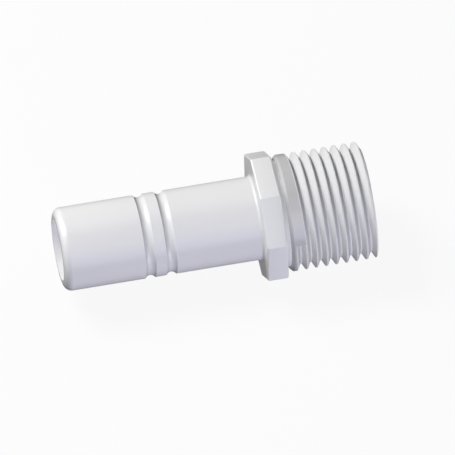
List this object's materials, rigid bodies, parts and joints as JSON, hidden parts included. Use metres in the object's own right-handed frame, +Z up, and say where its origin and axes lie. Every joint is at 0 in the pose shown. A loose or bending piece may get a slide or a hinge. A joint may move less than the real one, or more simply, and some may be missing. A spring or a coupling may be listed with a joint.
{
  "type": "push-in stem adaptor",
  "caption": "One-piece pipe adaptor: a smooth push-in stem with ring grooves, an octagonal flange and a male parallel pipe thread, with a straight waterway through it.",
  "frame": {"origin": "on the waterway's axis, in the plane of the flange's thread-side face, where a tapped port seats", "axes": "+X along the waterway towards the thread's free end, +Z up, one flat of the octagon facing down"},
  "size_m": [0.056, 0.022, 0.022],
  "materials": {
    "white_acetal": "satin, moulded"
  },
  "bodies": {
    "root": {"stem_adaptor": "white_acetal"}
  },
  "joints": []
}
